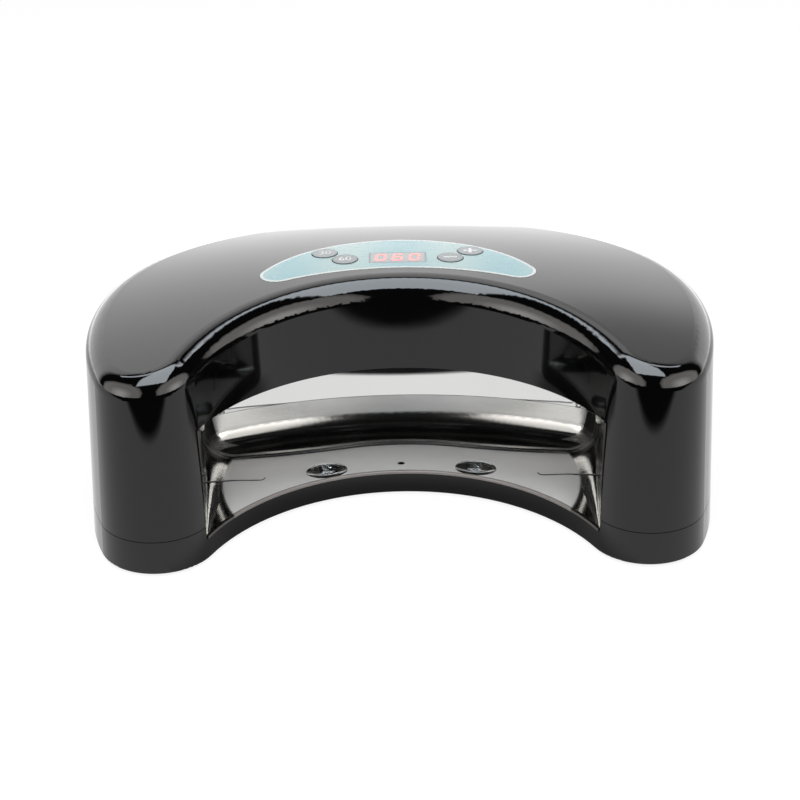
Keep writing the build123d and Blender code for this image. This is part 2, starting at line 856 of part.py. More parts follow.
with BuildPart() as floor_reflector:
    add(front_skin)
    add(front_room, mode=Mode.SUBTRACT)
    add(behind_rim, mode=Mode.SUBTRACT)
    add(frame_zone.part, mode=Mode.SUBTRACT)
    add(lip_flange.part)
    for light in floor_lights:
        with BuildSketch(light.offset(wall)):
            Circle(floor_lens_radius + fit_gap)
        extrude(amount=-3 * wall, mode=Mode.SUBTRACT)
    with BuildSketch(Plane.XY):
        with Locations(sensor_place):
            Circle(sensor_hole_radius)
    extrude(amount=2 * lip_height, mode=Mode.SUBTRACT)


# Bright rear liner: a bowl with a stepped rim towards the hand, and a back wall above it

bowl_skin = bowl_space(liner_wall)
rim_opening = front_space(-rim_bead_heights[0])
behind_riser = behind_curtain(liner_wall)
bead_outside = front_space(-fit_gap / 2)

with BuildPart() as rear_liner:
    add(bowl_skin)
    add(bowl_room, mode=Mode.SUBTRACT)
    add(behind_all, mode=Mode.INTERSECT)

with BuildPart() as riser:
    add(bowl_skin)
    add(behind_all, mode=Mode.INTERSECT)
    add(behind_riser, mode=Mode.SUBTRACT)
    add(rim_opening, mode=Mode.SUBTRACT)

beads = []
for index, bead_height in enumerate(rim_bead_heights):
    bead_inside = front_space(-bead_height)
    bead_front = behind_curtain(-(index + 1) * rim_bead_width)
    bead_back = behind_curtain(-index * rim_bead_width)
    with BuildPart() as bead:
        add(bead_outside)
        add(bead_inside, mode=Mode.SUBTRACT)
        add(bead_front, mode=Mode.INTERSECT)
        add(bead_back, mode=Mode.SUBTRACT)
    beads.append(bead.part)

with BuildPart() as whole_bowl:
    add(rear_liner.part)
    add(riser.part)
    for bead_part in beads:
        add(bead_part)

with BuildPart() as rear_bowl_reflector:
    add(whole_bowl.part)
    split(bisect_by=Plane.XY.offset(liner_seam_height - liner_seam_gap / 2), keep=Keep.BOTTOM)

with BuildPart() as back_wall_reflector:
    add(whole_bowl.part)
    split(bisect_by=Plane.XY.offset(liner_seam_height + liner_seam_gap / 2), keep=Keep.TOP)


# Lights in the floor: a clear lens, a reflector cup, a square emitter and its board

with BuildPart() as floor_led_lenses:
    for light in floor_lights:
        with BuildSketch(light.offset(-floor_lens_sink)):
            Circle(floor_lens_radius)
        extrude(amount=-floor_lens_thick)

with BuildPart() as floor_led_cups:
    for light in floor_lights:
        with BuildSketch(light.offset(-lens_under)):
            Circle(cup_radius)
        extrude(amount=-floor_cup_depth)
        with BuildSketch(light.offset(-lens_under)):
            Circle(cup_radius - floor_cup_rim)
        with BuildSketch(light.offset(-cup_under)):
            Circle(floor_emitter_size)
        loft(mode=Mode.SUBTRACT)

with BuildPart() as floor_led_emitters:
    for light in floor_lights:
        with BuildSketch(light.offset(-cup_under)):
            Rectangle(floor_emitter_size, floor_emitter_size)
        extrude(amount=floor_emitter_thick)

with BuildPart() as floor_led_boards:
    for light in floor_lights:
        with BuildSketch(light.offset(-board_under)):
            Circle(cup_radius)
        extrude(amount=floor_board_thick)

with BuildPart() as hand_sensor:
    with BuildSketch(Plane.XY.offset(sensor_top - sensor_height)):
        with Locations(sensor_place):
            Rectangle(sensor_size, sensor_size)
    extrude(amount=sensor_height)


# Dark ceiling of the opening, with two curved rows of lights under one heat sink

ceiling_outline = bowl_outline(ceiling_margin, wing_front_y + ceiling_front_setback, bowl_top_back)
sink_outline = bowl_outline(0, wing_front_y + ceiling_front_setback, bowl_back)

with BuildPart() as ceiling_panel:
    with BuildSketch(Plane.XY.offset(liner_top)):
        add(ceiling_outline)
        with Locations(mouth_centre):
            Circle(frame_radius + loose_gap, mode=Mode.SUBTRACT)
        with Locations(*ceiling_lights):
            Circle(lens_radius + fit_gap, mode=Mode.SUBTRACT)
        with Locations(*ceiling_screws):
            Circle(small_screw_radius + fit_gap, mode=Mode.SUBTRACT)
    extrude(amount=ceiling_thick)

with BuildPart() as ceiling_led_lenses:
    with BuildSketch(Plane.XY.offset(liner_top - lens_drop)):
        with Locations(*ceiling_lights):
            Circle(lens_radius)
    extrude(amount=lens_drop + ceiling_thick)
    fillet(ceiling_led_lenses.edges().group_by(Axis.Z)[0], radius=lens_drop - fit_gap)
    with BuildSketch(Plane.XY.offset(ceiling_high)):
        with Locations(*ceiling_lights):
            Circle(lens_flange_radius)
    extrude(amount=lens_flange_thick)
    with BuildSketch(Plane.XY.offset(star_low)):
        with Locations(*ceiling_lights):
            Circle(emitter_radius + loose_gap)
    extrude(amount=-emitter_thick - loose_gap, mode=Mode.SUBTRACT)

with BuildPart() as ceiling_led_emitters:
    with BuildSketch(Plane.XY.offset(star_low)):
        with Locations(*ceiling_lights):
            Circle(emitter_radius)
    extrude(amount=-emitter_thick)

with BuildPart() as ceiling_led_boards:
    with BuildSketch(Plane.XY.offset(star_low)):
        with Locations(*ceiling_lights):
            RegularPolygon(star_radius, 6)
    extrude(amount=star_thick)

with BuildPart() as heat_sink:
    with BuildSketch(Plane.XY.offset(sink_low)):
        add(sink_outline)
        with Locations(mouth_centre):
            Circle(sink_front_radius, mode=Mode.SUBTRACT)
    extrude(amount=sink_plate)
    with BuildSketch(Plane.XY.offset(sink_high)):
        with Locations((0, apex)):
            with GridLocations(sink_fin_pitch, 0, sink_fin_count, 1):
                Rectangle(sink_fin_thick, 4 * bowl_back)
        add(sink_outline, mode=Mode.INTERSECT)
        with Locations(mouth_centre):
            Circle(sink_front_radius, mode=Mode.SUBTRACT)
    extrude(amount=control_board_low - sink_fin_to_board - sink_high)


# Driver board behind the bowl, with its tall components and the power inlet

with BuildPart() as driver_board:
    with BuildSketch(Plane.XY.offset(driver_board_height)):
        with Locations((0, driver_middle)):
            Rectangle(driver_board_width, driver_board_depth)
        with Locations(*driver_posts):
            Circle(small_screw_radius + fit_gap, mode=Mode.SUBTRACT)
    extrude(amount=board_thick)
    with BuildSketch(Plane.XY.offset(driver_top)):
        with Locations((-ribbon_x, cable_y)):
            Rectangle(ribbon_width + 2 * connector_rim, connector_depth)
    extrude(amount=connector_height)

with BuildPart() as driver_components:
    with BuildSketch(Plane.XY.offset(driver_top)):
        with Locations((0, driver_front + capacitor_pitch)):
            with GridLocations(capacitor_pitch, 0, 2, 1):
                Circle(capacitor_radius)
    extrude(amount=capacitor_height)
    with BuildSketch(Plane.XY.offset(driver_top)):
        with Locations((coil_x, driver_middle)):
            Rectangle(coil_size, coil_size)
    extrude(amount=coil_height)

with BuildPart() as dc_inlet:
    with BuildSketch(Plane.XY.offset(driver_top)):
        with Locations((0, jack_back - jack_length / 2)):
            Rectangle(jack_width, jack_length)
    extrude(amount=jack_height)
    with BuildSketch(Plane.XZ.offset(-jack_back)):
        with Locations((0, jack_axis)):
            Circle(jack_nose_radius)
    extrude(amount=-(wall + loose_gap))
    with BuildSketch(Plane.XZ.offset(-back_wall_outside)):
        with Locations((0, jack_axis)):
            Circle(jack_bore_radius)
            Circle(jack_pin_radius, mode=Mode.SUBTRACT)
    extrude(amount=jack_bore_depth, mode=Mode.SUBTRACT)


# Flat ribbon between the two boards, and the pair of wires to the lights

ribbon_z = control_board_top + connector_height / 2
with BuildPart() as ribbon_cable:
    with BuildLine(Plane.YZ.offset(-ribbon_x)):
        FilletPolyline(
            (control_middle + control_board_depth / 2, ribbon_z),
            (cable_y, ribbon_z),
            (cable_y, driver_top + connector_height),
            radius=ribbon_bend,
        )
    with BuildSketch(Plane.XZ.offset(-control_middle - control_board_depth / 2)):
        with Locations((-ribbon_x, ribbon_z)):
            Rectangle(ribbon_width, ribbon_thick)
    sweep()

star_place = ceiling_lights[lights_per_row + lights_per_row // 2 - 1]
wire_end = star_place[1] + star_radius * math.cos(math.radians(30))
wire_z = star_low + star_thick / 2
led_wires = []
for side in (-1, 1):
    wire_x = abs(star_place[0]) + side * wire_pitch / 2
    with BuildPart() as wire:
        with BuildLine(Plane.YZ.offset(wire_x)):
            FilletPolyline((wire_end, wire_z), (cable_y, wire_z), (cable_y, driver_top), radius=wire_bend)
        with BuildSketch(Plane.XZ.offset(-wire_end)):
            with Locations((wire_x, wire_z)):
                Circle(wire_radius)
        sweep()
    led_wires.append(wire.part)

# A wire from each floor light, along the floor and round the side of the bowl to the driver board

run_z = base_inside + 2 * wire_radius
run_y = apex + floor_wire_behind_mouth
run_x = bowl_half_width + liner_wall + floor_wire_outside
board_edge = floor_light_x + cup_radius
board_side = driver_board_width / 2
floor_wires = []
for side in (-1, 1):
    route = [
        (board_edge, run_y, run_z),
        (run_x, run_y, run_z),
        (run_x, cable_y - floor_wire_corner[1], run_z),
        (run_x - floor_wire_corner[0], cable_y, run_z),
        (board_side + wire_bend, cable_y, run_z),
        (board_side + wire_bend, cable_y, driver_top + wire_radius),
        (board_side - wire_bend / 2, cable_y, driver_top + wire_radius),
    ]
    with BuildPart() as floor_wire:
        with BuildLine() as wire_line:
            Polyline(*[(side * x, y, z) for x, y, z in route])
        with BuildSketch(Plane(origin=wire_line.line @ 0, z_dir=wire_line.line % 0)):
            Circle(wire_radius)
        sweep(transition=Transition.ROUND)
    floor_wires.append(floor_wire.part)

with BuildPart() as floor_led_wires:
    for floor_wire_part in floor_wires:
        add(floor_wire_part)


# Screws and feet

head_top = foot_proud + screw_head_height + loose_gap
with BuildPart() as housing_screws:
    with BuildSketch(Plane.XY.offset(head_top)):
        with Locations(*screw_places):
            Circle(screw_head_radius)
    extrude(amount=-screw_head_height)
    with BuildSketch(Plane.XY.offset(head_top)):
        with Locations(*screw_places):
            Circle(screw_radius)
    extrude(amount=screw_length)

with BuildPart() as board_screws:
    for plane, places, turned in (
        (Plane.XY.offset(control_board_low), control_posts, 1),
        (Plane.XY.offset(liner_top), ceiling_screws, 1),
        (Plane.XY.offset(driver_top), driver_posts, -1),
    ):
        with BuildSketch(plane):
            with Locations(*places):
                Circle(small_head_radius)
        extrude(amount=-turned * small_head_height)
        with BuildSketch(plane):
            with Locations(*places):
                Circle(small_screw_radius)
        extrude(amount=turned * (small_screw_length - loose_gap))

with BuildPart() as rubber_feet:
    with BuildSketch(Plane.XY):
        with Locations(*foot_places):
            Circle(foot_radius)
    extrude(amount=foot_proud + foot_recess)


# Every piece is written to its own file

pieces = {
    "base_tray": base_tray.part,
    "upper_housing": upper_housing.part,
    "control_panel_overlay": control_panel_overlay.part,
    "display_window": display_window.part,
    **buttons,
    "control_board": control_board.part,
    "button_switches": button_switches.part,
    "display_module": display_module.part,
    "floor_reflector": floor_reflector.part,
    "rear_bowl_reflector": rear_bowl_reflector.part,
    "back_wall_reflector": back_wall_reflector.part,
    "floor_led_lenses": floor_led_lenses.part,
    "floor_led_cups": floor_led_cups.part,
    "floor_led_emitters": floor_led_emitters.part,
    "floor_led_boards": floor_led_boards.part,
    "hand_sensor": hand_sensor.part,
    "ceiling_panel": ceiling_panel.part,
    "ceiling_led_lenses": ceiling_led_lenses.part,
    "ceiling_led_emitters": ceiling_led_emitters.part,
    "ceiling_led_boards": ceiling_led_boards.part,
    "heat_sink": heat_sink.part,
    "driver_board": driver_board.part,
    "driver_components": driver_components.part,
    "dc_inlet": dc_inlet.part,
    "ribbon_cable": ribbon_cable.part,
    "led_wire_plus": led_wires[0],
    "led_wire_minus": led_wires[1],
    "floor_led_wires": floor_led_wires.part,
    "housing_screws": housing_screws.part,
    "board_screws": board_screws.part,
    "rubber_feet": rubber_feet.part,
}
for name, piece in pieces.items():
    piece.label = name
    export_step(piece, f"parts/{name}.step")
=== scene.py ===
import math

import bmesh
import bpy
from mathutils import Matrix, Vector


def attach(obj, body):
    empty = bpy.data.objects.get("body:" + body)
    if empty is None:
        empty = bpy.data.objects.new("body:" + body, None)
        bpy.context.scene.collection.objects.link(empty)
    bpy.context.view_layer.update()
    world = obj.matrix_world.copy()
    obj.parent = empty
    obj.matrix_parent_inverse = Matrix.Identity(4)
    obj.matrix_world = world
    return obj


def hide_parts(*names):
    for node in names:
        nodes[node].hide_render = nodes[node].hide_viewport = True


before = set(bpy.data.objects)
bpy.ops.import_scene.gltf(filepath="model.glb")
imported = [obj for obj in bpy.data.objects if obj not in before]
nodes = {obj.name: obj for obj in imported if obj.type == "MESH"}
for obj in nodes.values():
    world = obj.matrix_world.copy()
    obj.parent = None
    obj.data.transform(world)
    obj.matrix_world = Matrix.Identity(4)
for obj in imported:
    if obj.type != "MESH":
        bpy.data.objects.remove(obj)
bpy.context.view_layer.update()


# Upper housing: the glossy roof, outer wall, pillars and visor in one injection moulding.
# It is black ABS with a polished skin, so it has a faint ripple and a few duller patches.
# Six screws hold it from below.

def new_finish(name, colour, roughness, metallic=0.0):
    material = bpy.data.materials.new(name)
    material.use_nodes = True
    shader = material.node_tree.nodes["Principled BSDF"]
    shader.inputs["Base Color"].default_value = (*colour, 1)
    shader.inputs["Roughness"].default_value = roughness
    shader.inputs["Metallic"].default_value = metallic
    return material


def object_place(material):
    found = material.node_tree.nodes.get("Texture Coordinate")
    return (found or material.node_tree.nodes.new("ShaderNodeTexCoord")).outputs["Object"]


def noise_over(material, scale, detail=3.0, distortion=0.0):
    noise = material.node_tree.nodes.new("ShaderNodeTexNoise")
    noise.inputs["Scale"].default_value = scale
    noise.inputs["Detail"].default_value = detail
    noise.inputs["Distortion"].default_value = distortion
    material.node_tree.links.new(object_place(material), noise.inputs["Vector"])
    return noise.outputs["Fac"]


def spread(material, source, low, high):
    ramp = material.node_tree.nodes.new("ShaderNodeMapRange")
    ramp.inputs["From Min"].default_value = 0.3
    ramp.inputs["From Max"].default_value = 0.7
    ramp.inputs["To Min"].default_value = low
    ramp.inputs["To Max"].default_value = high
    material.node_tree.links.new(source, ramp.inputs["Value"])
    return ramp.outputs["Result"]


def mixed(material, share, first, second):
    mix = material.node_tree.nodes.new("ShaderNodeMix")
    mix.data_type = "RGBA"
    for name, colour in (("A", first), ("B", second)):
        socket = [s for s in mix.inputs if s.name == name and s.type == "RGBA"][0]
        if isinstance(colour, bpy.types.NodeSocket):
            material.node_tree.links.new(colour, socket)
        else:
            socket.default_value = (*colour, 1)
    material.node_tree.links.new(share, mix.inputs["Factor"])
    return [s for s in mix.outputs if s.type == "RGBA"][0]


def into(material, source, socket):
    material.node_tree.links.new(source, material.node_tree.nodes["Principled BSDF"].inputs[socket])


def ripple(material, scale, depth, detail=2.0):
    bump = material.node_tree.nodes.new("ShaderNodeBump")
    bump.inputs["Strength"].default_value = 1.0
    bump.inputs["Distance"].default_value = depth
    material.node_tree.links.new(noise_over(material, scale, detail), bump.inputs["Height"])
    into(material, bump.outputs["Normal"], "Normal")


def varied_finish(name, colour, roughness, patch, grain, depth, metallic=0.0, shade=0.25):
    material = new_finish(name, colour, roughness, metallic)
    darker = tuple(c * (1 - shade) for c in colour)
    lighter = tuple(min(c * (1 + shade), 1) for c in colour)
    patches = noise_over(material, patch)
    into(material, mixed(material, patches, darker, lighter), "Base Color")
    dull_patches = spread(material, noise_over(material, patch * 4), roughness * 0.8, roughness * 1.25)
    into(material, dull_patches, "Roughness")
    ripple(material, grain, depth)
    return material


def wear(material, *names):
    for name in names:
        for slot in nodes[name].material_slots:
            slot.material = material


housing_finish = varied_finish("polished_black", (0.0018, 0.0018, 0.002), 0.05, 25, 90, 0.000004)
wear(housing_finish, "upper_housing")


# Base tray: the lower black moulding, with the same gloss and a slightly softer skin.
# Its curved front edge carries the bright lip of the liner.

tray_finish = varied_finish("tray_black", (0.0024, 0.0024, 0.0026), 0.06, 30, 400, 0.000003)
wear(tray_finish, "base_tray")


# Control panel overlay: a printed plastic sheet glued into a shallow recess in the roof.
# Pale cyan with cloudy lighter streaks, and a white border a millimetre wide.

apex = -0.018341
mouth_radius = 0.0875
panel_back_radius = 0.0647
panel_front_radius = 0.1296
panel_tip_radius = 0.0075
panel_border = 0.0012
panel_back_centre = Vector((0, apex + 0.053 - panel_back_radius, 0))
panel_front_centre = Vector((0, apex + 0.0178 - panel_front_radius, 0))
to_tip = panel_back_radius - panel_tip_radius
from_front = panel_front_radius + panel_tip_radius
apart = panel_back_centre.y - panel_front_centre.y
tip_rise = (to_tip ** 2 - from_front ** 2 + apart ** 2) / (2 * apart)
panel_tip = Vector((math.sqrt(to_tip ** 2 - tip_rise ** 2), panel_back_centre.y - tip_rise, 0))


def calculate(material, operation, first, second):
    node = material.node_tree.nodes.new("ShaderNodeMath")
    node.operation = operation
    for socket, value in zip(node.inputs, (first, second)):
        if isinstance(value, bpy.types.NodeSocket):
            material.node_tree.links.new(value, socket)
        else:
            socket.default_value = value
    return node.outputs[0]


def axes_of(material, place):
    parts = material.node_tree.nodes.new("ShaderNodeSeparateXYZ")
    material.node_tree.links.new(place, parts.inputs[0])
    return parts.outputs


def flat_place(material):
    along = axes_of(material, object_place(material))
    joined = material.node_tree.nodes.new("ShaderNodeCombineXYZ")
    right_half = calculate(material, "ABSOLUTE", along["X"], 0)
    material.node_tree.links.new(right_half, joined.inputs["X"])
    material.node_tree.links.new(along["Y"], joined.inputs["Y"])
    return joined.outputs[0]


def measure(material, operation, place, point):
    node = material.node_tree.nodes.new("ShaderNodeVectorMath")
    node.operation = operation
    material.node_tree.links.new(place, node.inputs[0])
    node.inputs[1].default_value = point
    return node.outputs["Value"] if operation in ("DISTANCE", "DOT_PRODUCT") else node.outputs["Vector"]


panel_finish = new_finish("printed_panel", (0.5, 0.66, 0.7), 0.2)
panel_place = flat_place(panel_finish)
from_back = measure(panel_finish, "DISTANCE", panel_place, panel_back_centre)
near_back = calculate(panel_finish, "GREATER_THAN", from_back, panel_back_radius - panel_border)
from_front_arc = measure(panel_finish, "DISTANCE", panel_place, panel_front_centre)
near_front = calculate(panel_finish, "LESS_THAN", from_front_arc, panel_front_radius + panel_border)
from_tip_arc = measure(panel_finish, "DISTANCE", panel_place, panel_tip)
near_tip = calculate(panel_finish, "GREATER_THAN", from_tip_arc, panel_tip_radius - panel_border)
from_tip = measure(panel_finish, "SUBTRACT", panel_place, panel_tip)
back_side = (panel_tip - panel_back_centre).normalized()
front_side = (panel_front_centre - panel_tip).normalized()
past_back = measure(panel_finish, "DOT_PRODUCT", from_tip, (-back_side.y, back_side.x, 0))
below_back = calculate(panel_finish, "LESS_THAN", past_back, 0)
past_front = measure(panel_finish, "DOT_PRODUCT", from_tip, (-front_side.y, front_side.x, 0))
above_front = calculate(panel_finish, "GREATER_THAN", past_front, 0)
in_corner = calculate(panel_finish, "MULTIPLY", below_back, above_front)
in_tip = calculate(panel_finish, "MULTIPLY", near_tip, in_corner)
border = calculate(panel_finish, "MAXIMUM", in_tip, calculate(panel_finish, "MAXIMUM", near_back, near_front))
streaks = panel_finish.node_tree.nodes.new("ShaderNodeTexWave")
streaks.inputs["Scale"].default_value = 7
streaks.inputs["Distortion"].default_value = 3
streaks.inputs["Detail Scale"].default_value = 0.6
panel_finish.node_tree.links.new(object_place(panel_finish), streaks.inputs["Vector"])
cloudy = mixed(panel_finish, streaks.outputs["Fac"], (0.26, 0.46, 0.5), (0.38, 0.52, 0.52))
into(panel_finish, mixed(panel_finish, border, cloudy, (0.66, 0.7, 0.69)), "Base Color")
into(panel_finish, spread(panel_finish, noise_over(panel_finish, 200), 0.2, 0.3), "Roughness")
panel_finish.node_tree.nodes["Principled BSDF"].inputs["Specular IOR Level"].default_value = 0.3
ripple(panel_finish, 1500, 0.000002)
wear(panel_finish, "control_panel_overlay")


# Display window: a tinted clear sheet with a darker edge, flush with the panel, over the number display.
# The strokes of the three glowing digits lie on its face, where the eye sees them through the tint.

window_finish = varied_finish("tinted_window", (0.3, 0.33, 0.34), 0.15, 300, 2500, 0.000001, shade=0.08)
window_edge = 0.0008
window_size = (0.024, 0.012)
window_y = apex + 0.0295
from_window = measure(window_finish, "SUBTRACT", flat_place(window_finish), (0, window_y, 0))
on_window = axes_of(window_finish, from_window)
at_side = calculate(window_finish, "GREATER_THAN", on_window["X"], window_size[0] / 2 - window_edge)
from_row = calculate(window_finish, "ABSOLUTE", on_window["Y"], 0)
at_end = calculate(window_finish, "GREATER_THAN", from_row, window_size[1] / 2 - window_edge)
tint = mixed(window_finish, noise_over(window_finish, 300), (0.28, 0.3, 0.31), (0.33, 0.36, 0.37))
framed = mixed(window_finish, calculate(window_finish, "MAXIMUM", at_side, at_end), tint, (0.2, 0.21, 0.22))
into(window_finish, framed, "Base Color")
wear(window_finish, "display_window")

digit_height = 0.0078
digit_width = 0.0048
digit_pitch = 0.0071
stroke = 0.0011
stroke_gap = 0.0002
print_thickness = 0.00004
digit_slant = math.radians(6)
window_middle = Vector((0, window_y, 0))
lit_strokes = {
    "0": ("top", "upper_left", "upper_right", "lower_left", "lower_right", "bottom"),
    "6": ("top", "upper_left", "middle", "lower_left", "lower_right", "bottom"),
}
half_width = (digit_width - stroke) / 2
half_height = (digit_height - stroke) / 2
stroke_places = {
    "top": (0, half_height, 0),
    "middle": (0, 0, 0),
    "bottom": (0, -half_height, 0),
    "upper_left": (-half_width, half_height / 2, 90),
    "upper_right": (half_width, half_height / 2, 90),
    "lower_left": (-half_width, -half_height / 2, 90),
    "lower_right": (half_width, -half_height / 2, 90),
}


def bar(shape, length, width, height, place, turn=0.0, chamfer=0.0):
    made = bmesh.ops.create_cube(shape, size=1)["verts"]
    bmesh.ops.scale(shape, vec=(length, width, height), verts=made)
    if chamfer:
        upright = [edge for edge in shape.edges if edge.verts[0] in made
                   and abs(edge.verts[0].co.z - edge.verts[1].co.z) > height / 2]
        bevelled = bmesh.ops.bevel(
            shape, geom=upright, offset=chamfer, segments=1, profile=0.5, affect="EDGES", material=-1)
        made = list({v for v in bevelled["verts"]} | {v for v in made if v.is_valid})
    move = Matrix.Translation(place) @ Matrix.Rotation(turn, 4, "Z")
    bmesh.ops.transform(shape, matrix=move, verts=made)
    return made


def finished_piece(name, shape, material, body):
    mesh = bpy.data.meshes.new(name)
    shape.to_mesh(mesh)
    shape.free()
    mesh.materials.append(material)
    piece = bpy.data.objects.new(name, mesh)
    bpy.context.scene.collection.objects.link(piece)
    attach(piece, body)
    return piece


def lay_on(shape, node, lift):
    for vert in shape.verts:
        hit, surface, _, _ = nodes[node].ray_cast((vert.co.x, vert.co.y, 0.2), (0, 0, -1))
        vert.co.z += surface.z + lift


digits = bmesh.new()
for index, number in enumerate("060"):
    for part in lit_strokes[number]:
        x, y, turn = stroke_places[part]
        length = (digit_width if turn == 0 else digit_height / 2) - stroke_gap - stroke / 2
        bar(digits, length, stroke, print_thickness,
            (x + (index - 1) * digit_pitch, y, 0), math.radians(turn), stroke * 0.4)
for vert in digits.verts:
    vert.co.x += math.tan(digit_slant) * vert.co.y
bmesh.ops.translate(digits, vec=window_middle, verts=digits.verts)
lay_on(digits, "display_window", print_thickness)
digit_finish = varied_finish("glowing_red", (0.9, 0.25, 0.25), 0.4, 800, 3000, 0.000001, shade=0.1)
digit_shader = digit_finish.node_tree.nodes["Principled BSDF"]
digit_shader.inputs["Emission Color"].default_value = (1.0, 0.22, 0.2, 1)
digit_shader.inputs["Emission Strength"].default_value = 0.75
finished_piece("display_digits", digits, digit_finish, "housing")


# Push buttons: four grey moulded caps that stand just proud of the panel.
# The pair on the left picks a time, and the pair on the right counts down and up.
# The signs are printed on the caps in white, so they travel with them.

button_places = {
    "preset_button_rear": Vector((-0.031, apex + 0.0369, 0)),
    "preset_button_front": Vector((-0.0223, apex + 0.0285, 0)),
    "minus_button": Vector((0.0223, apex + 0.0285, 0)),
    "plus_button": Vector((0.031, apex + 0.0369, 0)),
}
button_ring_radius = 0.0047
sign_finish = varied_finish("white_print", (0.75, 0.77, 0.77), 0.35, 600, 3000, 0.000001, shade=0.06)

for name, middle in button_places.items():
    cap_finish = new_finish(name + "_cap", (0.22, 0.24, 0.25), 0.25)
    reach = measure(cap_finish, "DISTANCE", flat_place(cap_finish), (abs(middle.x), middle.y, 0))
    rim = calculate(cap_finish, "GREATER_THAN", reach, button_ring_radius)
    grain = mixed(cap_finish, noise_over(cap_finish, 500), (0.17, 0.19, 0.2), (0.22, 0.24, 0.25))
    into(cap_finish, mixed(cap_finish, rim, grain, (0.12, 0.14, 0.15)), "Base Color")
    into(cap_finish, spread(cap_finish, noise_over(cap_finish, 900), 0.2, 0.34), "Roughness")
    ripple(cap_finish, 2500, 0.000002)
    wear(cap_finish, name)

sign_length = 0.0056
sign_width = 0.0012


def printed_number(text, size, middle):
    letters = bpy.data.curves.new(text, "FONT")
    letters.body = text
    letters.size = size
    letters.extrude = print_thickness / 2
    letters.align_x = "CENTER"
    letters.align_y = "CENTER"
    holder = bpy.data.objects.new(text, letters)
    shape = bmesh.new()
    shape.from_mesh(bpy.data.meshes.new_from_object(holder))
    bpy.data.objects.remove(holder)
    bmesh.ops.translate(shape, vec=middle, verts=shape.verts)
    return shape


signs = {
    "preset_button_rear": printed_number("30", 0.0056, button_places["preset_button_rear"]),
    "preset_button_front": printed_number("60", 0.0056, button_places["preset_button_front"]),
}
for name in ("minus_button", "plus_button"):
    sign = bmesh.new()
    middle = button_places[name]
    bar(sign, sign_length, sign_width, print_thickness, middle)
    if name == "plus_button":
        arm = (sign_length - sign_width) / 2
        for side in (-1, 1):
            offset = Vector((0, side * (sign_width + arm) / 2, 0))
            bar(sign, sign_width, arm, print_thickness, middle + offset)
    signs[name] = sign
for name, sign in signs.items():
    lay_on(sign, name, print_thickness)
    finished_piece(name + "_sign", sign, sign_finish, name + "_body")


# Liner: three vacuum-plated plastic skins that line the opening, with a rolled lip in front.
# The floor has a coat of silver paint between two mirror wings, and the back wall is a mirror.
# The bowl is a softer, slightly darker mirror; painted shade darkens its lower part and the steep faces of
# its rim's steps.

plate_patches = 18
plate_ripple = 60
ripple_depth = 0.000003


def mirror_finish(name, brightness, roughness):
    colour = (brightness, brightness, brightness * 0.985)
    return varied_finish(name, colour, roughness, plate_patches, plate_ripple, ripple_depth, 1.0, 0.04)


def between(material, source, start, end, first, last):
    ramp = material.node_tree.nodes.new("ShaderNodeMapRange")
    ramp.interpolation_type = "SMOOTHSTEP"
    ramp.inputs["From Min"].default_value = start
    ramp.inputs["From Max"].default_value = end
    ramp.inputs["To Min"].default_value = first
    ramp.inputs["To Max"].default_value = last
    material.node_tree.links.new(source, ramp.inputs["Value"])
    return ramp.outputs["Result"]


wing_curve_centre = (-0.0292, -0.015, 0)
wing_curve_radius = 0.105
wing_blend = 0.002
lip_width = 0.0013
pinhole_middle = (0, apex + 0.0099, 0)
pinhole_radius = 0.0015
paint_roughness = 0.45
wing_roughness = 0.1
paint_metallic = 0.12
floor_finish = mirror_finish("plated_floor", 0.82, wing_roughness)
floor_place = flat_place(floor_finish)
from_paint = measure(floor_finish, "DISTANCE", floor_place, wing_curve_centre)


def paint_to_wing(paint, wing):
    wing_start = wing_curve_radius
    return between(floor_finish, from_paint, wing_start, wing_start + wing_blend, paint, wing)


into(floor_finish, paint_to_wing(paint_roughness, wing_roughness), "Roughness")
into(floor_finish, paint_to_wing(paint_metallic, 1.0), "Metallic")
# Painted shade: the rolled lip at the floor's front edge is painted darker.
from_mouth = measure(floor_finish, "DISTANCE", floor_place, (0, apex - mouth_radius, 0))
lip_back = mouth_radius + lip_width
painted_lip_shade = between(floor_finish, from_mouth, lip_back, lip_back + lip_width / 2, 1, 0)
# Painted shade: the wall of the pinhole and a thin ring round it are painted near black.
from_pinhole = measure(floor_finish, "DISTANCE", floor_place, pinhole_middle)
pinhole_painted_shade = between(floor_finish, from_pinhole, pinhole_radius, pinhole_radius * 1.1, 1, 0)
paint_patches = noise_over(floor_finish, plate_patches)
front_paint = mixed(floor_finish, paint_patches, (0.79, 0.79, 0.78), (0.85, 0.85, 0.84))
# Painted light: the floor's paint colour turns lighter towards the back, where the visor shades it.
floor_row = axes_of(floor_finish, floor_place)["Y"]
painted_light_to_back = between(floor_finish, floor_row, -0.02, 0.004, 0, 1)
painted = mixed(floor_finish, painted_light_to_back, front_paint, (0.97, 0.97, 0.96))
winged = mixed(floor_finish, paint_to_wing(0, 1), painted, (0.42, 0.42, 0.41))
lip_painted_dark = mixed(floor_finish, painted_lip_shade, winged, (0.26, 0.24, 0.23))
into(floor_finish, mixed(floor_finish, pinhole_painted_shade, lip_painted_dark, (0.002, 0.002, 0.002)), "Base Color")

